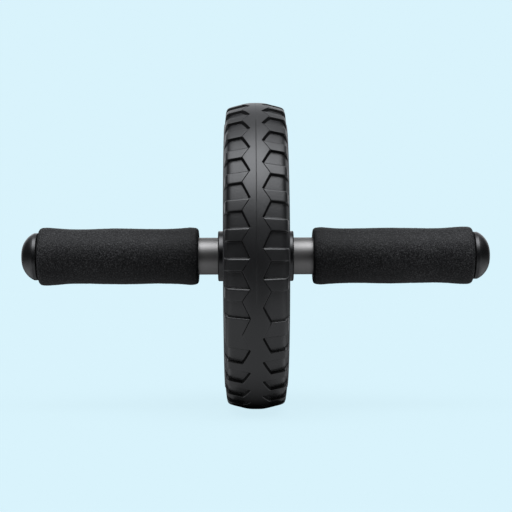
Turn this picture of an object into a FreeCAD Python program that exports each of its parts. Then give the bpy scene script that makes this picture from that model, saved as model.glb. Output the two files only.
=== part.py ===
"""Ab wheel roller: one wide treaded wheel that spins on a steel axle tube, with a foam grip and a domed end cap on each side.

Frame: millimetres, +X along the axle (the right hand side), +Z up, -Y towards the front.
The origin is the wheel's centre. Angles on the wheel are counted from the front (-Y) upwards.
"""

import FreeCAD
import Part
import math
import os

V = FreeCAD.Vector
X_AXIS = V(1, 0, 0)
O = V(0, 0, 0)

# ---------------------------------------------------------------- driving dimensions
# axle tube
TUBE_R = 12.5            # outer radius, 25 mm steel tube
TUBE_WALL = 2.0
TUBE_HALF = 145.9        # half length
GROOVE_X = (23.75, 25.05)
GROOVE_R = 11.7

# wheel and tyre
R_WHEEL = 103.0          # tread radius on the centre rib
TREAD_DEPTH = 2.0
N_PITCH = 34             # lug pitches round the tyre, on each side
PITCH = 360.0 / N_PITCH
# steep lug edges, degrees above the front; the gap lies below the edge in the forward tread half, above it in the reversed half
RIGHT_UP = [-12.17 + i * PITCH for i in range(17)]
RIGHT_DOWN = [-23.9] + [-25.95 - i * PITCH for i in range(1, 17)]
LEFT_UP = [-15.73 + i * PITCH for i in range(17)]
LEFT_DOWN = [-41.7 - 10.9 * i for i in range(4)]
LEFT_DOWN += [LEFT_DOWN[3] - 10.13 * i for i in range(1, 13)]
RIB_WIDE = 8.6           # half width of the centre rib at its wide corners
RIB_NARROW = 3.5         # and at its narrow points
GAP_UP = (11.13, 12.0)   # length of a gap's floor along the tread, and of the rib's slant beside it
GAP_DOWN = (11.9, 12.7)
BEVEL_SPAN = 1.33        # sloped side of each lug
STEEP_DRAFT = 0.40       # lean of the steep side, mm per mm of height
RIB_DRAFT = 0.55
CROWN_SLOPE = 0.206
# tread cross-section: distance from the centre plane, drop below R_WHEEL
CROWN_MIDDLE = [(-1.0, 0.0), (1.0, 0.0)]   # narrow flat in the middle of the crown
CROWN = [(3.5, 0.06), (7.0, 0.5), (10.0, 1.25), (13.4, 2.1), (15.4, 2.62), (16.8, 3.05), (17.8, 3.5), (18.5, 4.05), (19.0, 4.8), (19.35, 5.8), (19.6, 7.0)]
# the same in the gaps, where the floor rounds down into the tyre's side
FLOOR = [(3.5, 2.0), (7.0, 2.5), (10.0, 3.25), (13.4, 4.1), (15.0, 4.52), (16.0, 4.88), (16.8, 5.3), (17.5, 5.85), (18.1, 6.6), (18.6, 7.6), (19.05, 8.7), (19.45, 9.8)]
SIDE_X = 20.15           # tyre side where it meets the rim lip
BEAD_R = 89.2            # inner radius of the tyre's beads
BARREL_R = 95.0          # rim barrel under the tread
BARREL_HALF = 16.0

# rim halves
LIP_X = 20.8             # outermost plane of the rim lip
LIP_R = 88.9
HUB_BORE_R = 15.0
HUB_R = 20.6
HUB_END = 20.4
DISC_OUT = 17.2          # outer face of the side disc, set in from the lip
DISC_IN = 14.2
N_SPOKE = 6
SPOKE_TOP = 19.9
SPOKE_HALF_HUB = 8.4
SPOKE_HALF_RIM = 5.2
SCREW_PCD_R = 54.0
SCREW_SEAT = 7.0
BOSS_R = 6.4
SPLIT_GAP = 0.05

# hub bushes
BUSH_BORE_R = 12.55
BUSH_IN = 3.0
FLANGE_R = 17.0
FLANGE_OUT = 25.4
RECESS_R = 14.9
RECESS_X = 22.9

# thrust washers and snap rings
WASHER = (12.6, 14.5, 23.0, 23.7)
SNAP = (11.75, 14.0, 23.8, 25.0)
SNAP_GAP_DEG = 36.0

# rim screws
SCREW_R = 1.95
SCREW_HEAD_R = 3.8
SCREW_HEAD_H = 2.6
SCREW_LEN = 17.0

# grips: distance from the centre plane, radius
GRIP_IN = 38.4
GRIP_OUT = 146.05
GRIP_BORE_R = 12.52
GRIP_PROFILE = [(41.4, 19.15), (43.8, 19.4), (47.4, 19.15), (51.0, 18.85), (58.0, 18.52), (66.0, 18.4), (73.0, 18.5), (82.0, 18.75), (92.0, 18.92),
                (100.0, 18.78), (108.0, 18.6), (118.0, 18.4), (124.0, 18.48), (129.0, 18.73), (133.2, 19.08), (136.6, 19.37), (139.5, 19.5), (142.0, 19.48),
                (143.4, 19.37), (144.5, 19.08), (145.35, 18.53), (145.88, 17.75)]

# end caps
DOME_TIP = 158.2
# dome outline from the tip to the rim band: distance from the centre plane, radius
DOME = [(DOME_TIP, 0.0), (158.07, 2.63), (157.74, 5.06), (157.2, 7.28), (156.5, 9.0), (155.8, 10.26), (154.9, 11.55), (153.9, 12.74), (152.8, 13.8),
        (151.7, 14.66), (150.6, 15.35), (149.65, 15.77)]
RIM_BAND = (147.1, 149.5, 15.95)   # plain band round the foot of the dome: inner end, outer end, radius
CAP_NECK_R = 12.4                  # seat against the tube's end, deep in the groove between grip and band
CAP_STEM_R = 10.25
CAP_BARB_R = 10.48
CAP_STEM_IN = 127.0
CAP_BORE_R = 8.2


# ---------------------------------------------------------------- helpers
def pt(x, r):
    return V(x, 0, r)


def line_wire(points):
    return Part.makePolygon([pt(*p) for p in points] + [pt(*points[0])])


def revolve(wire):
    solid = Part.Face(wire).revolve(O, X_AXIS, 360)
    if solid.ShapeType != "Solid":
        solid = solid.Solids[0]
    if solid.Volume < 0:
        solid.reverse()
    return solid


def lathe(points):
    return revolve(line_wire(points))


def mixed_wire(chunks):
    """chunks: lists of (x, r); a list of two or more points tagged 's' is one smooth curve, 'l' straight runs."""
    edges = []
    for kind, pts in chunks:
        vs = [pt(*p) for p in pts]
        if kind == "s":
            c = Part.BSplineCurve()
            c.interpolate(vs)
            edges.append(c.toShape())
        elif kind == "a":
            edges.append(Part.Arc(*vs).toShape())
        else:
            for a, b in zip(vs, vs[1:]):
                if a.distanceToPoint(b) > 1e-6:
                    edges.append(Part.LineSegment(a, b).toShape())
    return Part.Wire(edges)


def mirror_x(shape):
    return shape.mirror(O, X_AXIS)


def turned(shape, deg):
    s = shape.copy()
    s.rotate(O, X_AXIS, deg)
    return s


def cyl(x0, x1, r, y=0.0, z=0.0):
    return Part.makeCylinder(r, x1 - x0, V(x0, y, z), X_AXIS)


def save(name, shape):
    solids = shape.Solids
    assert solids and shape.isValid(), name
    for s in solids:
        assert s.Volume > 0 and s.isClosed(), name
    out = solids[0] if len(solids) == 1 else Part.Compound(solids)
    out.exportStep("parts/%s.step" % name)
    print("%-22s solids %d  volume %.1f cm3" % (name, len(solids), sum(s.Volume for s in solids) / 1000.0))


os.makedirs("parts", exist_ok=True)


# ---------------------------------------------------------------- axle tube
tube = cyl(-TUBE_HALF, TUBE_HALF, TUBE_R).cut(cyl(-TUBE_HALF - 1, TUBE_HALF + 1, TUBE_R - TUBE_WALL))
for side in (1, -1):
    x0, x1 = sorted((side * GROOVE_X[0], side * GROOVE_X[1]))
    tube = tube.cut(cyl(x0, x1, TUBE_R + 1).cut(cyl(x0 - 1, x1 + 1, GROOVE_R)))
save("axle_tube", tube)


# ---------------------------------------------------------------- tyre
def tyre_profile(outline, middle=()):
    """Closed section of the tyre under a tread outline given for the right half, with points between the halves if the middle isn't straight."""
    right = [(x, R_WHEEL - d) for x, d in outline]
    left = [(-x, r) for x, r in reversed(right)]
    chunks = [
        ("l", [left[-1]] + [(x, R_WHEEL - d) for x, d in middle] + [right[0]]),
        ("s", right),
        ("l", [right[-1], (SIDE_X, BEAD_R + 2.0), (SIDE_X - 0.15, BEAD_R), (BARREL_HALF, BEAD_R), (BARREL_HALF, BARREL_R),
               (-BARREL_HALF, BARREL_R), (-BARREL_HALF, BEAD_R), (-SIDE_X + 0.15, BEAD_R), (-SIDE_X, BEAD_R + 2.0), left[0]]),
        ("s", left),
    ]
    return mixed_wire(chunks)


def void_tool(span, slope_span):
    """The gap below a lug on the right side, in place at angle 0 with the lug's steep top edge at s = 0 and the gap below it.
    span is the length of the gap's floor, slope_span the length over which the rib narrows."""
    run = RIB_WIDE - RIB_NARROW
    x_out = 27.0

    def polygon(r):
        def rise(x):                 # height above the lug tops
            return r - R_WHEEL + CROWN_SLOPE * (x - RIB_NARROW)

        def s_top(x):
            return STEEP_DRAFT * rise(x)

        def s_bottom(x):
            return -span - BEVEL_SPAN / TREAD_DEPTH * (rise(x) + TREAD_DEPTH)

        def corner(edge):            # where the rib's wall meets a lug's side
            x = RIB_WIDE
            for _ in range(80):
                x = 0.5 * x + 0.5 * (RIB_WIDE + run / slope_span * edge(x) - RIB_DRAFT * rise(x))
            return x, edge(x)

        p_top, p_bot = corner(s_top), corner(s_bottom)
        return [V(p_top[0], -r, p_top[1]), V(x_out, -r, s_top(x_out)), V(x_out, -r, s_bottom(x_out)), V(p_bot[0], -r, p_bot[1])]

    a, b = polygon(R_WHEEL - 9.5), polygon(R_WHEEL + 1.0)
    wires = [Part.makePolygon(q + [q[0]]) for q in (a, b)]
    solid = Part.makeLoft(wires, True, True)
    if solid.Volume < 0:
        solid.reverse()
    return solid


def flip_z(shape):
    return shape.mirror(O, V(0, 0, 1))


up_r = void_tool(*GAP_UP)
down_r = flip_z(void_tool(*GAP_DOWN))
up_l, down_l = mirror_x(up_r), mirror_x(down_r)
tools = [turned(up_r, -e) for e in RIGHT_UP[1:]] + [turned(down_r, -e) for e in RIGHT_DOWN[1:]]
tools += [turned(up_l, -e) for e in LEFT_UP] + [turned(down_l, -e) for e in LEFT_DOWN]
# where the two tread halves meet at the front right, their gaps join into one
join_span = math.radians((RIGHT_UP[0] - RIGHT_DOWN[0]) / 2) * (R_WHEEL - TREAD_DEPTH)
join_r = void_tool(join_span + 0.5, join_span)
tools += [turned(join_r, -RIGHT_UP[0]), turned(flip_z(join_r), -RIGHT_DOWN[0])]
# and at the back left
back = LEFT_UP[-1]
tools += [turned(flip_z(up_l), -back), turned(up_l, -(back + 0.9))]

full = revolve(tyre_profile(CROWN, CROWN_MIDDLE))
floor = revolve(tyre_profile(FLOOR))
tread = full.cut(tools)
tyre = tread.fuse(floor)
tyre = tyre.removeSplitter()
save("tyre", tyre)


# ---------------------------------------------------------------- rim halves
def spoke():
    """One raised tapered spoke on the side disc of the right half, pointing up, with rounded edges."""
    z0, z1 = HUB_R - 4.0, 86.0
    base = Part.makePolygon([V(DISC_IN + 1, -SPOKE_HALF_HUB, z0), V(DISC_IN + 1, SPOKE_HALF_HUB, z0), V(DISC_IN + 1, SPOKE_HALF_RIM, z1),
                             V(DISC_IN + 1, -SPOKE_HALF_RIM, z1), V(DISC_IN + 1, -SPOKE_HALF_HUB, z0)])
    s = Part.Face(base).extrude(V(SPOKE_TOP - DISC_IN - 1, 0, 0))
    if s.Volume < 0:
        s.reverse()
    long_top = [e for e in s.Edges if all(abs(v.X - SPOKE_TOP) < 1e-6 for v in e.Vertexes) and e.Length > 40]
    s = s.makeFillet(1.3, long_top)
    # shallow flute down the middle
    n0, n1 = SPOKE_HALF_HUB - 4.2, SPOKE_HALF_RIM - 3.0
    flute = Part.makePolygon([V(SPOKE_TOP - 0.9, -n0, HUB_R + 9.0), V(SPOKE_TOP - 0.9, n0, HUB_R + 9.0), V(SPOKE_TOP - 0.9, n1, 78.0),
                              V(SPOKE_TOP - 0.9, -n1, 78.0), V(SPOKE_TOP - 0.9, -n0, HUB_R + 9.0)])
    cut = Part.Face(flute).extrude(V(4, 0, 0))
    upright = [e for e in cut.Edges if abs(e.Vertexes[0].X - e.Vertexes[-1].X) > 3]
    cut = cut.makeFillet(1.6, upright)
    return s.cut(cut)


def rim_half(screw_side):
    """Right half. screw_side: True has the screw head counterbores, False the blind pilot holes."""
    g = SPLIT_GAP
    body = lathe([
        (g, BARREL_R), (BARREL_HALF - 0.3, BARREL_R), (BARREL_HALF, BARREL_R - 0.3), (BARREL_HALF, BEAD_R), (SIDE_X - 0.15, BEAD_R),
        (SIDE_X + 0.05, LIP_R), (LIP_X - 0.25, LIP_R - 0.15), (LIP_X, LIP_R - 0.6), (LIP_X, 86.3), (LIP_X - 0.25, 85.6), (DISC_OUT + 0.7, 84.1),
        (DISC_OUT + 0.15, 83.4), (DISC_OUT, 82.4), (DISC_OUT + 0.1, 50.0), (DISC_OUT + 0.4, 29.0), (DISC_OUT + 0.9, 24.4), (DISC_OUT + 1.8, 22.2),
        (HUB_END - 0.5, HUB_R + 0.5), (HUB_END, HUB_R - 0.3), (HUB_END, HUB_BORE_R), (g, HUB_BORE_R), (g, 18.6), (DISC_IN - 1.0, 19.0), (DISC_IN, 20.4), (DISC_IN, 83.2),
        (12.6, 85.2), (12.6, 91.4), (g, 91.8),
    ])
    step = 360.0 / N_SPOKE
    # stiffening ribs inside, behind the spokes
    for i in range(N_SPOKE):
        rib = Part.makeBox(DISC_IN + 0.6 - g, 2.4, 92.4 - 17.6, V(g, -1.2, 17.6))
        rib = rib.common(cyl(-1, 30, 92.4))
        body = body.fuse(turned(rib, i * step))
    for i in range(N_SPOKE):
        body = body.fuse(turned(spoke(), i * step))
    # screw bosses between the spokes
    for i in range(N_SPOKE):
        boss = cyl(g, DISC_OUT + 1.6, BOSS_R, 0, SCREW_PCD_R)
        rim_edge = [e for e in boss.Edges if abs(e.BoundBox.XMin - DISC_OUT - 1.6) < 1e-6 and abs(e.BoundBox.XMax - DISC_OUT - 1.6) < 1e-6]
        boss = boss.makeFillet(0.8, rim_edge)
        body = body.fuse(turned(boss, (i + 0.5) * step))
    for i in range(N_SPOKE):
        if screw_side:
            hole = cyl(-1, 30, SCREW_R + 0.25, 0, SCREW_PCD_R).fuse(cyl(SCREW_SEAT, 30, SCREW_HEAD_R + 0.5, 0, SCREW_PCD_R))
        else:
            hole = cyl(-1, 11.0, SCREW_R + 0.05, 0, SCREW_PCD_R)
        body = body.cut(turned(hole, (i + 0.5) * step))
    bore = cyl(-1, 30, HUB_BORE_R)
    body = body.cut(bore)
    # keep the bead seat and barrel true
    body = body.common(revolve(line_wire([(g, 10), (g, BARREL_R), (BARREL_HALF, BARREL_R), (BARREL_HALF, BEAD_R), (LIP_X, BEAD_R), (LIP_X, 10)])))
    return body.removeSplitter()


right_rim = rim_half(False)
left_rim = mirror_x(rim_half(True))
save("right_rim_half", right_rim)
save("left_rim_half", left_rim)


# ---------------------------------------------------------------- rim screws (heads on the left side)
def cross_recess(x_face, depth):
    a = Part.makeBox(depth, 3.6, 0.8, V(x_face, -1.8, -0.4))
    b = Part.makeBox(depth, 0.8, 3.6, V(x_face, -0.4, -1.8))
    return a.fuse(b)


def screw():
    seat = -SCREW_SEAT
    pts = [(seat - SCREW_HEAD_H, 0), (seat - SCREW_HEAD_H, 2.1), (seat - SCREW_HEAD_H + 0.45, 3.2), (seat - 1.2, SCREW_HEAD_R), (seat, SCREW_HEAD_R),
           (seat, SCREW_R), (seat + SCREW_LEN - 2.0, SCREW_R), (seat + SCREW_LEN, 0.5), (seat + SCREW_LEN, 0)]
    s = lathe(pts)
    s = s.cut(cross_recess(seat - SCREW_HEAD_H - 0.1, 1.7))
    s.translate(V(0, 0, SCREW_PCD_R))
    return s


screws = [turned(screw(), (i + 0.5) * 360.0 / N_SPOKE) for i in range(N_SPOKE)]
save("rim_screws", Part.Compound(screws))


# ---------------------------------------------------------------- hub bushes
bush = lathe([
    (BUSH_IN, BUSH_BORE_R + 0.4), (BUSH_IN + 0.4, BUSH_BORE_R), (RECESS_X - 0.3, BUSH_BORE_R), (RECESS_X, BUSH_BORE_R + 0.3), (RECESS_X, RECESS_R),
    (FLANGE_OUT - 0.5, RECESS_R), (FLANGE_OUT, RECESS_R + 0.5), (FLANGE_OUT, FLANGE_R - 0.9), (FLANGE_OUT - 0.12, FLANGE_R - 0.45), (FLANGE_OUT - 0.45, FLANGE_R - 0.12),
    (FLANGE_OUT - 0.9, FLANGE_R), (HUB_END, FLANGE_R), (HUB_END, HUB_BORE_R), (BUSH_IN + 1.0, HUB_BORE_R), (BUSH_IN, HUB_BORE_R - 0.7),
])
save("right_hub_bush", bush)
save("left_hub_bush", mirror_x(bush))


# ---------------------------------------------------------------- thrust washers, snap rings
w = WASHER
washer = cyl(w[2], w[3], w[1]).cut(cyl(w[2] - 1, w[3] + 1, w[0]))
save("right_thrust_washer", washer)
save("left_thrust_washer", mirror_x(washer))

ring = cyl(SNAP[2], SNAP[3], SNAP[1]).cut(cyl(SNAP[2] - 1, SNAP[3] + 1, SNAP[0]))
half = math.radians(SNAP_GAP_DEG / 2)
far = 30.0
wedge = Part.Face(Part.makePolygon([V(SNAP[2] - 1, 0, 0), V(SNAP[2] - 1, far * math.cos(half), far * math.sin(half)),
                                    V(SNAP[2] - 1, far * math.cos(half), -far * math.sin(half)), V(SNAP[2] - 1, 0, 0)])).extrude(V(4, 0, 0))
ring = ring.cut(wedge)
save("right_snap_ring", ring)
save("left_snap_ring", mirror_x(ring))


# ---------------------------------------------------------------- foam grips
g = GRIP_PROFILE
grip = revolve(mixed_wire([
    ("l", [(GRIP_IN, GRIP_BORE_R), (GRIP_IN, 17.0)]),
    ("s", [(GRIP_IN, 17.0), (38.95, 18.25), (39.9, 18.82)] + g + [(GRIP_OUT, 16.9)]),
    ("l", [(GRIP_OUT, 16.9), (GRIP_OUT, GRIP_BORE_R), (GRIP_IN, GRIP_BORE_R)]),
]))
save("right_grip", grip)
save("left_grip", mirror_x(grip))


# ---------------------------------------------------------------- end caps
dome = Part.BSplineCurve()
dome.interpolate(Points=[pt(*p) for p in DOME], InitialTangent=pt(0, 1), FinalTangent=pt(-1, 0.36))
band_in, band_out, band_r = RIM_BAND
barbs = []
n_barb = 5
for k in range(n_barb):
    x = CAP_STEM_IN + 2.0 + k * 3.6
    barbs += [(x, CAP_STEM_R), (x + 1.6, CAP_BARB_R), (x + 2.0, CAP_STEM_R)]
foot = mixed_wire([
    ("l", [DOME[-1], (band_out, band_r - 0.06), (band_out - 0.15, band_r), (band_in + 0.35, band_r), (band_in + 0.1, band_r - 0.1), (band_in, band_r - 0.35), (band_in, CAP_NECK_R),
           (TUBE_HALF, CAP_NECK_R), (TUBE_HALF, CAP_STEM_R)] + list(reversed(barbs)) + [
        (CAP_STEM_IN + 1.0, CAP_STEM_R), (CAP_STEM_IN, CAP_STEM_R - 0.8), (CAP_STEM_IN, CAP_BORE_R), (TUBE_HALF + 5.6, CAP_BORE_R), (TUBE_HALF + 6.4, CAP_BORE_R - 1.5),
        (TUBE_HALF + 6.4, 0.0), (DOME_TIP, 0.0)]),
])
cap = revolve(Part.Wire([dome.toShape()] + foot.Edges))
save("right_end_cap", cap)
save("left_end_cap", mirror_x(cap))
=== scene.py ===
"""Looks of the ab wheel roller: rubber tyre with its tread, foam grips, and finishes for the hard pieces.

Metres, +X along the axle, +Z up, the front is -Y. The wheel's centre is the origin.
"""

import bpy
import math
import numpy as np
from mathutils import Matrix, Quaternion, Vector, noise


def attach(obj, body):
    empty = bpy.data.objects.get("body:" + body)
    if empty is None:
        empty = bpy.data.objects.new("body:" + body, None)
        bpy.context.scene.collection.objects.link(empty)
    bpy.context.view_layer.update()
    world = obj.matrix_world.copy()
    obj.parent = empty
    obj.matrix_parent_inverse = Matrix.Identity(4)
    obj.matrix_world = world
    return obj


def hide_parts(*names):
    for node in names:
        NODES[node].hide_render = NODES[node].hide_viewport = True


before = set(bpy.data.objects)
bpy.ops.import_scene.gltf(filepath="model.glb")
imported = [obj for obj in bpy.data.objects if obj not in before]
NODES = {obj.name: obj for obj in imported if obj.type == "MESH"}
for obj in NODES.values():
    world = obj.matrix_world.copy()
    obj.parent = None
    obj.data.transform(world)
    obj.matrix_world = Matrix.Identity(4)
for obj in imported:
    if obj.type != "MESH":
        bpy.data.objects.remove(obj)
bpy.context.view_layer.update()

MM = 0.001
scene = bpy.context.scene

# ---------------------------------------------------------------- camera
CAM_DIST = 1.0094
PX_MM = 0.6762                       # millimetres per pixel at the axle, 512 px frame
CAM_X = -0.0055
CAM_AIM = Vector((0.00015, 0.0, 0.0))
CAM_ROLL = -0.19

cam_data = bpy.data.cameras.new("camera")
cam = bpy.data.objects.new("camera", cam_data)
scene.collection.objects.link(cam)
scene.camera = cam
cam_data.sensor_width = 36.0
cam_data.lens = CAM_DIST / (PX_MM * MM) * 36.0 / 512.0
cam_data.clip_start, cam_data.clip_end = 0.01, 100.0
cam.location = (CAM_X, -CAM_DIST, 0.0)
cam.rotation_mode = "QUATERNION"
aim = (CAM_AIM - cam.location).to_track_quat("-Z", "Y")
cam.rotation_quaternion = aim @ Quaternion((0, 0, 1), math.radians(CAM_ROLL))


# ---------------------------------------------------------------- mesh helpers
def make_object(name, verts, faces, smooth=True):
    me = bpy.data.meshes.new(name)
    me.from_pydata([tuple(v) for v in verts], [], [tuple(int(i) for i in f) for f in faces])
    me.validate()
    me.update()
    if smooth:
        me.polygons.foreach_set("use_smooth", [True] * len(me.polygons))
    ob = bpy.data.objects.new(name, me)
    scene.collection.objects.link(ob)
    return ob


def torus_faces(rows, cols):
    """Faces of a grid that closes on itself both ways; vertex index is row * cols + col."""
    r = np.arange(rows)[:, None]
    c = np.arange(cols)[None, :]
    r2, c2 = (r + 1) % rows, (c + 1) % cols
    return np.stack([r * cols + c, r * cols + c2, r2 * cols + c2, r2 * cols + c], -1).reshape(-1, 4)


def outward(verts, faces):
    """Faces turned so that the closed shape's volume is positive."""
    v = np.asarray(verts)
    a, b, c, d = (v[faces[:, i]] for i in range(4))
    vol = np.einsum("ij,ij->i", a, np.cross(b, c)).sum() + np.einsum("ij,ij->i", a, np.cross(c, d)).sum()
    return faces if vol > 0 else faces[:, ::-1]


def smooth01(t):
    t = np.clip(t, 0, 1)
    return t * t * (3 - 2 * t)


# ---------------------------------------------------------------- tyre
R_WHEEL, DEPTH = 103.0, 2.0
PITCH = 360.0 / 34
WALL_MM = 1.1
WIDE, NARROW = 8.6, 3.5
CROWN = [(0.0, 0.0), (1.0, 0.0), (3.5, 0.06), (7.0, 0.5), (10.0, 1.25), (13.4, 2.1), (15.4, 2.62), (16.8, 3.05), (17.8, 3.5), (18.5, 4.05), (19.0, 4.8), (19.35, 5.8), (19.6, 7.0)]
# the floor of the gaps, from where it starts to round down into the tyre's side
FLOOR_END = [(15.0, 4.52), (16.0, 4.88), (16.8, 5.3), (17.5, 5.85), (18.1, 6.6), (18.6, 7.6), (19.05, 8.7), (19.45, 9.8), (19.85, 10.9), (20.15, 11.8)]
SIDE_X, BEAD_R, BARREL_R, BARREL_HALF = 20.15, 89.2, 95.0, 16.0

# Gaps between lugs, in degrees above the front. Each has a steep lug edge and, on its other side, a rounded lug edge.
GAP_UP, GAP_DOWN = 6.63, 7.05
RIGHT_UP = [-12.17 + i * PITCH for i in range(17)]
RIGHT_DOWN = [-23.9] + [-25.95 - i * PITCH for i in range(1, 17)]
LEFT_UP = [-15.73 + i * PITCH for i in range(17)]
LEFT_DOWN = [-41.7 - 10.9 * i for i in range(4)]
LEFT_DOWN += [LEFT_DOWN[3] - 10.13 * i for i in range(1, 13)]

# outlines of the two kinds of edge: degrees into the gap, share of the tread depth
STEEP = [(-0.12, 0.0), (-0.03, 0.015), (0.04, 0.06), (0.10, 0.15), (0.36, 0.90), (0.42, 0.975), (0.50, 1.0)]
ROUND = [(-0.40, 0.0), (-0.28, 0.006), (-0.16, 0.03), (-0.04, 0.075), (0.08, 0.14), (0.20, 0.225), (0.30, 0.32), (0.37, 0.48), (0.47, 0.88), (0.53, 0.975), (0.60, 1.0)]
CRISP = [(-0.16, 0.0), (-0.06, 0.02), (0.04, 0.08), (0.12, 0.20), (0.34, 0.90), (0.42, 0.98), (0.50, 1.0)]
RIB_WALL = [(0.0, 0.0), (0.07, 0.03), (0.16, 0.12), (0.50, 0.50), (0.84, 0.90), (1.0, 1.0)]


def tread_side(side):
    """Knots of the centre rib's edge as (degrees, half width), and the gaps as two (edge, kind, way) each,
    way being +1 where the gap lies at smaller angles than the edge."""
    up, down = (RIGHT_UP, RIGHT_DOWN) if side > 0 else (LEFT_UP, LEFT_DOWN)
    rib, gaps = [], []
    for i, e in enumerate(up):
        rib.append((e, WIDE))
        if side > 0 and i == 0:
            continue
        rib.append((e - GAP_UP + 0.45, NARROW))
        if side > 0 or i < 16:
            gaps.append(((e, STEEP, 1), (e - GAP_UP, ROUND if side > 0 or i else CRISP, -1)))
    for i, e in enumerate(down):
        rib.append((e, WIDE))
        if side > 0 and i == 0:
            continue
        rib.append((e + GAP_DOWN - 0.45, NARROW))
        gaps.append(((e + GAP_DOWN, ROUND, 1), (e, STEEP, -1)))
    if side > 0:
        # the two tread halves meet at the front in one joined gap, and at the back between two lugs
        rib += [((up[0] + down[0]) / 2, NARROW), (161.0, NARROW)]
        gaps.append(((up[0], STEEP, 1), (down[0], STEEP, -1)))
    else:
        # and on this side at the front between two lugs, at the back in one joined gap
        rib.append((-28.5, WIDE))
        e = up[16]
        rib.append((e + GAP_UP - 0.45, NARROW))
        gaps.append(((e + GAP_UP, ROUND, 1), (e - GAP_UP, ROUND, -1)))
    return sorted((a % 360.0, w) for a, w in rib), gaps


def rib_edge(rib, deg):
    a = np.array([k[0] for k in rib])
    w = np.array([k[1] for k in rib])
    a = np.concatenate([a[-1:] - 360, a, a[:1] + 360])
    w = np.concatenate([w[-1:], w, w[:1]])
    return np.interp(deg % 360.0, a, w)


def gap_depth(gaps, deg):
    """Share of the tread depth that is cut at each angle, 0 on a lug and 1 on a gap's floor, and how far inside a gap."""
    out = np.zeros_like(deg)
    for (e0, k0, w0), (e1, k1, w1) in gaps:
        mid = (e0 + e1) / 2
        d = (deg - mid + 180.0) % 360.0 - 180.0
        a = np.interp((e0 - mid) - d, *zip(*k0))
        b = np.interp(d - (e1 - mid), *zip(*k1))
        out = np.maximum(out, np.minimum(a, b))
    return out


def feature_rows(gaps):
    rows = []
    for pair in gaps:
        for e, kind, way in pair:
            pts = [p for p, _ in kind]
            rows += [e - way * t for t in [pts[0] - 0.25] + pts + [pts[-1] + 0.25]]
    return rows


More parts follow.
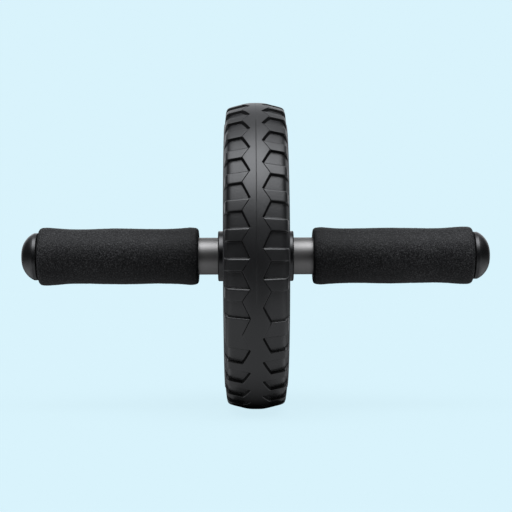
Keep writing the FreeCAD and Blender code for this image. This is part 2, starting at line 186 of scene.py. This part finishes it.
def build_tyre():
    tables = {s: tread_side(s) for s in (1, -1)}
    rows = list(np.arange(0, 360, 0.9))
    for s in (1, -1):
        rows += [a % 360.0 for a in feature_rows(tables[s][1])]
        rows += [a for a, _ in tables[s][0]]
    rows = np.array(sorted(a % 360.0 for a in rows))
    keep = [rows[0]]
    for a in rows[1:]:
        if a - keep[-1] > 0.025:
            keep.append(a)
    if keep[0] + 360 - keep[-1] < 0.025:
        keep.pop()
    deg = np.array(keep)
    n = len(deg)
    # the mould's centre line is worn away over part of the reversed half and partly near the top; its groove is painted
    # darker as painted shade, except at the front
    turn = (deg + 180.0) % 360.0 - 180.0
    mark = smooth01((np.abs((deg + 60.0 + 180.0) % 360.0 - 180.0) - 40.0) / 9.0)
    mark = mark * (0.35 + 0.65 * smooth01((np.abs(turn - 76.0) - 14.0) / 8.0))
    line_shade = mark * smooth01((np.abs(turn) - 12.0) / 12.0)

    # smooth outline of the crown and shoulder, by chord length
    pts = np.array(CROWN)
    seg = np.concatenate([[0], np.cumsum(np.hypot(*np.diff(pts, axis=0).T))])
    fine = np.linspace(0, seg[-1], 600)
    tang = np.gradient(pts, seg, axis=0)
    tang[0] = tang[1] = (1, 0)
    k = np.clip(np.searchsorted(seg, fine, side="right") - 1, 0, len(seg) - 2)
    h = (seg[k + 1] - seg[k])[:, None]
    t = ((fine - seg[k]) / (seg[k + 1] - seg[k]))[:, None]
    curve = ((2 * t**3 - 3 * t**2 + 1) * pts[k] + (t**3 - 2 * t**2 + t) * h * tang[k]
             + (-2 * t**3 + 3 * t**2) * pts[k + 1] + (t**3 - t**2) * h * tang[k + 1])
    x_keep = np.maximum.accumulate(curve[:, 0])

    def drop(x):
        return np.interp(x, x_keep, curve[:, 1])

    # lug outline and gap outline from 15 mm out, with as many points each
    s_sh = np.interp(15.0, x_keep, fine)
    sh_s = np.linspace(s_sh, seg[-1], 16)[1:]
    lug = np.stack([np.interp(sh_s, fine, curve[:, 0]), R_WHEEL - np.interp(sh_s, fine, curve[:, 1])], 1)
    end = lug[-1]
    lug = np.concatenate([lug, [end + (np.array([SIDE_X, BEAD_R + 2.0]) - end) * f for f in (0.12, 0.28, 0.46, 0.66, 0.84, 1.0)]])
    fe = np.array(FLOOR_END)
    fs = np.concatenate([[0], np.cumsum(np.hypot(*np.diff(fe, axis=0).T))])
    ft = np.gradient(fe, fs, axis=0)
    u = np.linspace(0, fs[-1], len(lug) + 1)[1:]
    k = np.clip(np.searchsorted(fs, u, side="right") - 1, 0, len(fs) - 2)
    h = (fs[k + 1] - fs[k])[:, None]
    t = ((u - fs[k]) / (fs[k + 1] - fs[k]))[:, None]
    gap = ((2 * t**3 - 3 * t**2 + 1) * fe[k] + (t**3 - 2 * t**2 + t) * h * ft[k] + (-2 * t**3 + 3 * t**2) * fe[k + 1] + (t**3 - t**2) * h * ft[k + 1])
    gap[:, 1] = R_WHEEL - gap[:, 1]

    def half(side):
        rib, gaps = tables[side]
        xb = rib_edge(rib, deg)
        b = gap_depth(gaps, deg)
        cols = []

        def add(x, r, cut, slit=0.0, fade=1.0):
            # the cavity mask: 1 on the walls of gaps and slits, part on a gap's floor; it darkens the rubber's colour
            # there as painted shade
            wall = np.clip((cut - 0.30) / 0.2, 0, 1) * (1 - 0.90 * np.clip((cut - 0.96) / 0.04, 0, 1)) * fade
            cols.append([np.broadcast_to(np.asarray(v, float), (n,)) for v in (side * x, r, np.maximum(wall, slit))])

        def tread_col(x, cut, sink=0.0, slit=0.0):
            add(x, R_WHEEL - drop(x) - DEPTH * cut - sink, cut, slit)

        zero = np.zeros(n)
        # centre line mark with painted shade in its groove, then the rib
        for x, sink, painted_shade in ((0.09, 0.12, 0.55), (0.19, 0.03, 0.1), (0.30, 0.0, 0.0)):
            tread_col(np.full(n, x), zero, sink * mark, painted_shade * line_shade)
        for f in (0.2, 0.45, 0.7, 0.9):
            tread_col(0.34 + (xb - 0.2 - 0.34) * f, zero)
        tread_col(xb - 0.2, zero)
        # rib wall where the tread is cut, a thin slit where it isn't; the slits are fainter in the reversed half. Walls
        # and slits are painted darker as painted shade.
        faint = -28.5 if side < 0 else -24.5
        d = (deg - faint + 180.0) % 360.0 - 180.0
        slit_mm = np.where((d < 0) | (d > 175.0), 0.12, 0.75)
        slit = [0.0, 0.6, 1.0, 0.55, 0.08, 0.0]
        for (f, cut), deep in zip(RIB_WALL, slit):
            x = xb + (WALL_MM * b + 0.55 * (1 - b)) * f
            open_ = deep * (1 - b) ** 2
            tread_col(x, cut * b, slit_mm * open_, 1.2 * slit_mm * open_)
        x1 = xb + WALL_MM * b + 0.55 * (1 - b)
        tread_col(x1 + 0.25, b)
        for f in (0.14, 0.32, 0.52, 0.76, 1.0):
            tread_col(x1 + 0.25 + (15.0 - x1 - 0.25) * f, b)
        # shoulder and side: lugs end at a corner, the gaps' floors round down
        for i in range(len(lug)):
            add(lug[i, 0] + (gap[i, 0] - lug[i, 0]) * b, lug[i, 1] + (gap[i, 1] - lug[i, 1]) * b, b, 0.0, 1 - (i / (len(lug) - 1)) ** 2)
        for x, r in ((SIDE_X - 0.02, BEAD_R + 0.7), (SIDE_X - 0.15, BEAD_R + 0.1), (BARREL_HALF, BEAD_R + 0.02), (BARREL_HALF, BARREL_R + 0.02)):
            add(np.full(n, x), np.full(n, r), zero)
        return cols

    centre = [(np.zeros(n), R_WHEEL - 0.16 * mark, 0.9 * line_shade)]
    loop = centre + half(1) + half(-1)[::-1]
    X = np.stack([c[0] for c in loop], 1)
    Rr = np.stack([c[1] for c in loop], 1)
    cavity_shade = np.stack([c[2] for c in loop], 1).reshape(-1)
    th = np.radians(deg)[:, None]
    verts = np.stack([X, -Rr * np.cos(th), Rr * np.sin(th)], -1).reshape(-1, 3) * MM
    faces = outward(verts, torus_faces(n, X.shape[1]))
    ob = make_object("tyre_tread", verts, faces)
    ob.data.attributes.new("cavity_shade", "FLOAT", "POINT").data.foreach_set("value", cavity_shade.astype(np.float32))
    return ob, (cavity_shade[faces].mean(1) > 0.45).astype(np.int32)


tyre, tyre_walls = build_tyre()
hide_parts("tyre")
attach(tyre, "wheel")


# ---------------------------------------------------------------- foam grips
GRIP = [(38.4, 16.6), (38.62, 17.65), (39.15, 18.42), (40.0, 18.94), (41.4, 19.22), (43.8, 19.4), (47.4, 19.15), (51.0, 18.85), (58.0, 18.52), (66.0, 18.4), (73.0, 18.5),
        (82.0, 18.75), (92.0, 18.92), (100.0, 18.78), (108.0, 18.6), (118.0, 18.4), (124.0, 18.48), (129.0, 18.73), (133.2, 19.08), (136.6, 19.37), (139.5, 19.5), (142.0, 19.48),
        (143.4, 19.37), (144.5, 19.08), (145.35, 18.53), (145.85, 17.75), (146.03, 16.9)]


def build_grip(side):
    pts = np.array(GRIP)
    seg = np.concatenate([[0], np.cumsum(np.hypot(*np.diff(pts, axis=0).T))])
    tang = np.gradient(pts, seg, axis=0)
    s = np.concatenate([np.linspace(0, 3.2, 12)[:-1], np.linspace(3.2, seg[-1] - 6.0, 270)[:-1], np.linspace(seg[-1] - 6.0, seg[-1], 20)])
    k = np.clip(np.searchsorted(seg, s, side="right") - 1, 0, len(seg) - 2)
    h = (seg[k + 1] - seg[k])[:, None]
    t = ((s - seg[k]) / (seg[k + 1] - seg[k]))[:, None]
    prof = ((2 * t**3 - 3 * t**2 + 1) * pts[k] + (t**3 - 2 * t**2 + t) * h * tang[k]
            + (-2 * t**3 + 3 * t**2) * pts[k + 1] + (t**3 - t**2) * h * tang[k + 1])
    n_ring = 288
    ang = np.linspace(0, 2 * math.pi, n_ring, endpoint=False)
    seed = Vector((3.1, 7.7, 1.3)) if side > 0 else Vector((-5.3, 2.9, 8.1))
    rings = []
    for x, r in prof:
        ring = []
        for a in ang:
            p = Vector((x * side, -r * math.cos(a), r * math.sin(a)))
            d = 0.16 * noise.noise(p * 0.035 + seed) + 0.10 * noise.noise(p * 0.12 + seed)
            d += 0.05 * noise.noise(p * 0.5 + seed) + 0.085 * noise.noise(p * 0.95 + seed)
            ring.append((x, r + d, a))
        rings.append(ring)
    # end faces, slightly dished like cut foam, down to the bore
    inner = [(38.4 + dx, r) for dx, r in ((-0.02, 15.6), (0.05, 14.2), (0.18, 13.1), (0.5, 12.56))]
    outer = [(146.05, 16.0), (146.0, 15.0), (145.95, 13.6), (145.9, 12.56)]
    closing = [[(x, r, a) for a in ang] for x, r in outer + [(93.0, 12.56)] + inner[::-1]]
    loop = rings + closing
    verts = np.array([[(x * side, -r * math.cos(a), r * math.sin(a)) for x, r, a in ring] for ring in loop]).reshape(-1, 3) * MM
    faces = outward(verts, torus_faces(len(loop), n_ring))
    return make_object(("right" if side > 0 else "left") + "_foam_grip", verts, faces)


grips = {}
for side, word in ((1, "right"), (-1, "left")):
    g = build_grip(side)
    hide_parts(word + "_grip")
    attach(g, "axle")
    grips[word] = g


# ---------------------------------------------------------------- materials
class Mat:
    """A small node-tree builder round one Principled shader."""

    def __init__(self, name):
        self.m = bpy.data.materials.new(name)
        self.m.use_nodes = True
        self.t = self.m.node_tree
        self.n = self.t.nodes
        self.b = self.n["Principled BSDF"]
        self.coord = self.n.new("ShaderNodeTexCoord")

    def set(self, **kw):
        for k, v in kw.items():
            self.b.inputs[k.replace("_", " ")].default_value = v
        return self

    def link(self, a, b):
        self.t.links.new(a, b)

    def mapped(self, scale=(1, 1, 1), source=None):
        m = self.n.new("ShaderNodeMapping")
        m.inputs["Scale"].default_value = scale
        self.link(source or self.coord.outputs["Object"], m.inputs["Vector"])
        return m.outputs["Vector"]

    def noise(self, scale, detail=3.0, rough=0.55, vector=None):
        t = self.n.new("ShaderNodeTexNoise")
        t.inputs["Scale"].default_value = scale
        t.inputs["Detail"].default_value = detail
        t.inputs["Roughness"].default_value = rough
        self.link(vector or self.coord.outputs["Object"], t.inputs["Vector"])
        return t.outputs["Fac"]

    def voronoi(self, scale, feature="F1", vector=None, randomness=1.0):
        t = self.n.new("ShaderNodeTexVoronoi")
        t.feature = feature
        t.inputs["Scale"].default_value = scale
        t.inputs["Randomness"].default_value = randomness
        self.link(vector or self.coord.outputs["Object"], t.inputs["Vector"])
        return t.outputs["Distance"]

    def math(self, op, a, b=None):
        t = self.n.new("ShaderNodeMath")
        t.operation = op
        for i, v in enumerate((a, b)):
            if v is None:
                continue
            if isinstance(v, (int, float)):
                t.inputs[i].default_value = v
            else:
                self.link(v, t.inputs[i])
        return t.outputs[0]

    def range(self, v, a, b, c, d):
        t = self.n.new("ShaderNodeMapRange")
        for name, x in zip(("From Min", "From Max", "To Min", "To Max"), (a, b, c, d)):
            t.inputs[name].default_value = x
        self.link(v, t.inputs["Value"])
        return t.outputs["Result"]

    def ramp(self, v, stops):
        t = self.n.new("ShaderNodeValToRGB")
        e = t.color_ramp.elements
        while len(e) < len(stops):
            e.new(0.5)
        for el, (p, c) in zip(e, stops):
            el.position = p
            el.color = (*c, 1.0)
        self.link(v, t.inputs["Fac"])
        return t.outputs["Color"]

    def blend(self, fac, a, b):
        t = self.n.new("ShaderNodeMix")
        t.data_type = "RGBA"
        self.link(fac, t.inputs["Factor"])
        self.link(a, t.inputs[6])
        self.link(b, t.inputs[7])
        return t.outputs[2]

    def bump(self, height, strength, distance, normal=None):
        t = self.n.new("ShaderNodeBump")
        t.inputs["Strength"].default_value = strength
        t.inputs["Distance"].default_value = distance
        self.link(height, t.inputs["Height"])
        if normal is not None:
            self.link(normal, t.inputs["Normal"])
        return t.outputs["Normal"]

    def to(self, socket, v):
        self.link(v, self.b.inputs[socket])
        return self


def rubber():
    m = Mat("tyre_rubber_black")
    m.set(Metallic=0.0, IOR=1.5)
    cloud = m.noise(38, 4)
    fine = m.noise(2600, 2, 0.6)
    mid = m.noise(760, 3, 0.6)
    hol = m.n.new("ShaderNodeAttribute")
    hol.attribute_name = "cavity_shade"
    cavity_shade = hol.outputs["Fac"]
    skin = m.ramp(cloud, [(0.25, (0.0082, 0.0083, 0.0088)), (0.5, (0.0106, 0.0107, 0.0112)), (0.78, (0.0142, 0.0143, 0.0148))])
    # painted shade: a near-black copy of the rubber, blended in by the cavity mask on gap walls, slits, gap floors and
    # the centre line
    deep = m.ramp(cloud, [(0.3, (0.0022, 0.0022, 0.0024)), (0.7, (0.0034, 0.0034, 0.0036))])
    m.to("Base Color", m.blend(cavity_shade, skin, deep))
    shine = m.range(m.math("ADD", m.math("MULTIPLY", cloud, 0.6), m.math("MULTIPLY", fine, 0.4)), 0.3, 0.7, 0.29, 0.41)
    m.to("Roughness", m.math("ADD", shine, m.math("MULTIPLY", cavity_shade, 0.36)))
    n1 = m.bump(mid, 0.16, 0.0005)
    m.to("Normal", m.bump(fine, 0.16, 0.00012, n1))
    return m.m


def recess():
    # painted shade: the walls of the gaps get a near-black, dull copy of the rubber, standing in for the shade inside
    # the gaps
    m = Mat("tyre_rubber_shaded_wall")
    m.set(Metallic=0.0, IOR=1.5)
    m.b.inputs["Specular IOR Level"].default_value = 0.2
    m.to("Base Color", m.ramp(m.noise(70, 4), [(0.3, (0.0012, 0.0012, 0.0013)), (0.7, (0.0026, 0.0026, 0.0028))]))
    m.to("Roughness", m.range(m.noise(900, 2), 0.3, 0.7, 0.70, 0.88))
    m.to("Normal", m.bump(m.noise(1500, 2), 0.15, 0.0002))
    return m.m


def foam():
    m = Mat("grip_foam_black")
    m.set(Metallic=0.0, IOR=1.45)
    m.b.inputs["Specular IOR Level"].default_value = 0.17
    m.b.inputs["Sheen Weight"].default_value = 0.015
    m.b.inputs["Sheen Roughness"].default_value = 0.5
    m.b.inputs["Sheen Tint"].default_value = (0.55, 0.56, 0.58, 1)
    cells = m.voronoi(1100)
    grit = m.noise(1250, 3, 0.7)
    patch = m.noise(60, 3)
    mix = m.math("ADD", m.math("MULTIPLY", grit, 0.92), m.math("MULTIPLY", patch, 0.08))
    # painted shade: the foam's colour is darker by the wheel, where the wheel shades the grips, and paler on the outer
    # part
    sep = m.n.new("ShaderNodeSeparateXYZ")
    m.link(m.coord.outputs["Object"], sep.inputs[0])
    unshaded = m.range(m.math("ABSOLUTE", sep.outputs["X"]), 0.048, 0.100, 0.0, 1.0)
    shaded_foam = m.ramp(mix, [(0.34, (0.0004, 0.0005, 0.0006)), (0.5, (0.0050, 0.0051, 0.0054)), (0.66, (0.0385, 0.0387, 0.0394))])
    pale = m.ramp(mix, [(0.34, (0.0006, 0.0007, 0.0009)), (0.5, (0.0075, 0.0076, 0.0080)), (0.66, (0.0555, 0.0557, 0.0566))])
    m.to("Base Color", m.blend(unshaded, shaded_foam, pale))
    m.to("Roughness", m.range(grit, 0.3, 0.7, 0.52, 0.70))
    n1 = m.bump(cells, 0.22, 0.0006)
    m.to("Normal", m.bump(grit, 0.22, 0.0006, n1))
    return m.m


def steel_tube():
    m = Mat("tube_satin_steel")
    m.set(Metallic=0.75)
    ringy = m.mapped((2600.0, 30.0, 30.0))
    brush = m.noise(1.0, 3, 0.6, ringy)
    scuff = m.noise(46, 4)
    m.to("Base Color", m.ramp(scuff, [(0.3, (0.155, 0.152, 0.148)), (0.7, (0.181, 0.177, 0.173))]))
    m.to("Roughness", m.range(m.math("ADD", m.math("MULTIPLY", brush, 0.7), m.math("MULTIPLY", scuff, 0.3)), 0.3, 0.7, 0.35, 0.45))
    m.to("Normal", m.bump(brush, 0.06, 0.00006))
    return m.m


def gloss_plastic(name, base, r0, r1, side, limit):
    m = Mat(name)
    m.set(Metallic=0.0, IOR=1.5)
    cloud = m.noise(85, 4)
    fine = m.noise(3200, 2)
    lo = tuple(c * 0.8 for c in base)
    hi = tuple(c * 1.3 for c in base)
    skin = m.ramp(cloud, [(0.3, lo), (0.7, hi)])
    shine = m.range(cloud, 0.3, 0.7, r0, r1)
    # painted shade: near black and duller in the cap's groove and on the bush's end, to one side of this distance from
    # the centre plane
    sep = m.n.new("ShaderNodeSeparateXYZ")
    m.link(m.coord.outputs["Object"], sep.inputs[0])
    painted_shade = m.math(side, m.math("ABSOLUTE", sep.outputs["X"]), limit)
    skin = m.blend(painted_shade, skin, m.ramp(cloud, [(0.3, (0.0006, 0.0006, 0.0006)), (0.7, (0.0012, 0.0012, 0.0012))]))
    shine = m.math("ADD", shine, m.math("MULTIPLY", painted_shade, 0.7))
    m.to("Base Color", skin)
    m.to("Roughness", shine)
    m.to("Normal", m.bump(fine, 0.05, 0.00008))
    return m.m


def rim_plastic():
    m = Mat("rim_grained_plastic")
    m.set(Metallic=0.0, IOR=1.5)
    grain = m.voronoi(900)
    cloud = m.noise(24, 4)
    m.to("Base Color", m.ramp(cloud, [(0.3, (0.028, 0.0283, 0.030)), (0.7, (0.040, 0.0404, 0.042))]))
    m.to("Roughness", m.range(m.noise(700, 3), 0.3, 0.7, 0.40, 0.56))
    m.to("Normal", m.bump(grain, 0.22, 0.00022))
    return m.m


def plated(name, colour, r0, r1):
    m = Mat(name)
    m.set(Metallic=1.0)
    cloud = m.noise(300, 4)
    m.to("Base Color", m.ramp(cloud, [(0.3, tuple(c * 0.85 for c in colour)), (0.7, colour)]))
    m.to("Roughness", m.range(cloud, 0.3, 0.7, r0, r1))
    m.to("Normal", m.bump(m.noise(2400, 2), 0.06, 0.00006))
    return m.m


def paint(ob, material):
    ob.data.materials.clear()
    ob.data.materials.append(material)


def smooth_by_angle(ob, deg):
    me = ob.data
    me.polygons.foreach_set("use_smooth", [True] * len(me.polygons))
    me.set_sharp_from_angle(angle=math.radians(deg))


RUBBER, RECESS, FOAM, TUBE = rubber(), recess(), foam(), steel_tube()
CAP = gloss_plastic("cap_gloss_plastic", (0.006, 0.006, 0.0063), 0.25, 0.33, "LESS_THAN", 0.14725)
BUSH = gloss_plastic("bush_gloss_plastic", (0.004, 0.004, 0.0042), 0.14, 0.20, "GREATER_THAN", 0.0246)
RIM = rim_plastic()
ZINC = plated("screw_zinc", (0.56, 0.56, 0.57), 0.24, 0.38)
WASHER = plated("washer_steel", (0.5, 0.5, 0.5), 0.28, 0.42)
SPRING = plated("spring_steel_dark", (0.13, 0.13, 0.135), 0.3, 0.42)

paint(tyre, RUBBER)
# the gap walls get the recess material, a dark copy of the rubber as painted shade
tyre.data.materials.append(RECESS)
tyre.data.polygons.foreach_set("material_index", tyre_walls)
for g in grips.values():
    paint(g, FOAM)
for node, mat in (("axle_tube", TUBE), ("left_end_cap", CAP), ("right_end_cap", CAP), ("left_hub_bush", BUSH), ("right_hub_bush", BUSH),
                  ("left_rim_half", RIM), ("right_rim_half", RIM), ("rim_screws", ZINC), ("left_thrust_washer", WASHER), ("right_thrust_washer", WASHER),
                  ("left_snap_ring", SPRING), ("right_snap_ring", SPRING)):
    paint(NODES[node], mat)
    smooth_by_angle(NODES[node], 32)


# ---------------------------------------------------------------- floor, light, background
PALE = (0.694, 0.896, 0.973)
FLOOR_GLOW = (0.6363, 0.8267, 0.9000)

floor_mesh = bpy.data.meshes.new("floor")
S = 60.0
floor_mesh.from_pydata([(-S, -S, -0.1032), (S, -S, -0.1032), (S, S, -0.1032), (-S, S, -0.1032)], [], [(0, 1, 2, 3)])
floor = bpy.data.objects.new("floor", floor_mesh)
scene.collection.objects.link(floor)
floor.visible_diffuse = False
floor.visible_glossy = False
fm = bpy.data.materials.new("floor_pale")
fm.use_nodes = True
ft = fm.node_tree
ft.nodes.clear()
f_out = ft.nodes.new("ShaderNodeOutputMaterial")
f_dif = ft.nodes.new("ShaderNodeBsdfDiffuse")
f_dif.inputs["Color"].default_value = (0.036, 0.042, 0.0432, 1)
f_emi = ft.nodes.new("ShaderNodeEmission")
f_emi.inputs["Color"].default_value = (*FLOOR_GLOW, 1)
f_emi.inputs["Strength"].default_value = 1.0
f_add = ft.nodes.new("ShaderNodeAddShader")
ft.links.new(f_dif.outputs[0], f_add.inputs[0])
ft.links.new(f_emi.outputs[0], f_add.inputs[1])
ft.links.new(f_add.outputs[0], f_out.inputs["Surface"])
floor_mesh.materials.append(fm)

# The shade under the wheel's contact: a soft-edged dark card, seen only in reflections, that grows darker towards the contact line.
card_mesh = bpy.data.meshes.new("contact_card")
card_mesh.from_pydata([(-0.018, -0.08, -0.10315), (0.018, -0.08, -0.10315), (0.018, 0.09, -0.10315), (-0.018, 0.09, -0.10315)], [], [(0, 1, 2, 3)])
card = bpy.data.objects.new("contact_card", card_mesh)
scene.collection.objects.link(card)
card.visible_camera = False
card.visible_diffuse = False
card.visible_shadow = False
card.visible_transmission = False
cm = bpy.data.materials.new("contact_shade")
cm.use_nodes = True
ct = cm.node_tree
ct.nodes.clear()
c_out = ct.nodes.new("ShaderNodeOutputMaterial")
c_co = ct.nodes.new("ShaderNodeTexCoord")
c_sep = ct.nodes.new("ShaderNodeSeparateXYZ")
ct.links.new(c_co.outputs["Object"], c_sep.inputs[0])
c_mr = ct.nodes.new("ShaderNodeMapRange")
c_mr.interpolation_type = "SMOOTHSTEP"
c_mr.inputs["From Min"].default_value = -0.076
c_mr.inputs["From Max"].default_value = -0.020
ct.links.new(c_sep.outputs["Y"], c_mr.inputs["Value"])
c_clear = ct.nodes.new("ShaderNodeBsdfTransparent")
c_dark = ct.nodes.new("ShaderNodeBsdfDiffuse")
c_dark.inputs["Color"].default_value = (0.0, 0.0, 0.0, 1)
c_mix = ct.nodes.new("ShaderNodeMixShader")
ct.links.new(c_mr.outputs["Result"], c_mix.inputs["Fac"])
ct.links.new(c_clear.outputs[0], c_mix.inputs[1])
ct.links.new(c_dark.outputs[0], c_mix.inputs[2])
ct.links.new(c_mix.outputs[0], c_out.inputs["Surface"])
card_mesh.materials.append(cm)

# A studio all round: a wide softbox overhead and a little in front, a pale table below, a dim room at the front.
# Angles run from the front (0) over the top (90) to the back (180); below is negative.
SKY = [(-180, 0.8), (-174, 0.3), (-166, 0.06), (-150, 0.13), (-130, 0.35), (-110, 0.47), (-84, 0.66), (-60, 0.75), (-48, 0.82), (-38, 0.68), (-28, 0.30), (-10, 0.03), (14, 0.03), (28, 0.16), (38, 0.8),
       (46, 2.3), (55, 5.1), (66, 6.8), (78, 6.4), (88, 4.4), (97, 2.1), (106, 0.72), (116, 0.42), (135, 0.52), (150, 0.85), (164, 1.1), (180, 0.8)]
SIDE = [(-1.0, 0.6), (-0.6, 1.15), (-0.3, 0.6), (-0.1, 0.10), (0.1, 0.04), (0.45, 0.05), (0.7, 0.3), (0.9, 1.2), (1.0, 3.0)]
PEAK = 7.0
TINT = (0.955, 0.98, 1.02)

world = bpy.data.worlds.new("studio")
scene.world = world
world.use_nodes = True
wt = world.node_tree
wt.nodes.clear()


def wnode(kind, **inputs):
    n = wt.nodes.new(kind)
    for k, v in inputs.items():
        n.inputs[k].default_value = v
    return n


def wmath(op, a, b=None):
    n = wt.nodes.new("ShaderNodeMath")
    n.operation = op
    for i, v in enumerate((a, b)):
        if v is None:
            continue
        if isinstance(v, (int, float)):
            n.inputs[i].default_value = v
        else:
            wt.links.new(v, n.inputs[i])
    return n.outputs[0]


def wramp(fac, stops):
    n = wt.nodes.new("ShaderNodeValToRGB")
    n.color_ramp.interpolation = "EASE"
    e = n.color_ramp.elements
    while len(e) < len(stops):
        e.new(0.5)
    for el, (p, v) in zip(e, stops):
        el.position = p
        el.color = (v, v, v, 1)
    wt.links.new(fac, n.inputs["Fac"])
    return n.outputs["Color"]


w_out = wnode("ShaderNodeOutputWorld")
w_co = wnode("ShaderNodeTexCoord")
w_sep = wnode("ShaderNodeSeparateXYZ")
wt.links.new(w_co.outputs["Generated"], w_sep.inputs[0])
dx, dy, dz = w_sep.outputs
ang = wmath("ARCTAN2", dz, wmath("MULTIPLY", dy, -1.0))
ang = wmath("ADD", wmath("DIVIDE", ang, 2 * math.pi), 0.5)
middle = wramp(ang, [((d + 180) / 360.0, v / PEAK) for d, v in SKY])
flank = wramp(wmath("ADD", wmath("MULTIPLY", dz, 0.5), 0.5), [((z + 1) / 2, v / PEAK) for z, v in SIDE])
w_mr = wnode("ShaderNodeMapRange", **{"From Min": 0.25, "From Max": 0.80})
w_mr.interpolation_type = "SMOOTHSTEP"
wt.links.new(wmath("ABSOLUTE", dx), w_mr.inputs["Value"])
w_blend = wt.nodes.new("ShaderNodeMix")
w_blend.data_type = "RGBA"
wt.links.new(w_mr.outputs["Result"], w_blend.inputs["Factor"])
wt.links.new(middle, w_blend.inputs[6])
wt.links.new(flank, w_blend.inputs[7])
w_tint = wt.nodes.new("ShaderNodeMix")
w_tint.data_type = "RGBA"
w_tint.blend_type = "MULTIPLY"
w_tint.inputs["Factor"].default_value = 1.0
wt.links.new(w_blend.outputs[2], w_tint.inputs[6])
w_tint.inputs[7].default_value = (*TINT, 1)
w_env = wnode("ShaderNodeBackground", Strength=PEAK)
wt.links.new(w_tint.outputs[2], w_env.inputs["Color"])
w_cam = wnode("ShaderNodeBackground", Color=(*PALE, 1), Strength=1.0)
w_path = wnode("ShaderNodeLightPath")
w_mix = wnode("ShaderNodeMixShader")
wt.links.new(w_path.outputs["Is Camera Ray"], w_mix.inputs["Fac"])
wt.links.new(w_env.outputs[0], w_mix.inputs[1])
wt.links.new(w_cam.outputs[0], w_mix.inputs[2])
wt.links.new(w_mix.outputs[0], w_out.inputs["Surface"])

scene.view_settings.view_transform = "Standard"
scene.view_settings.look = "None"
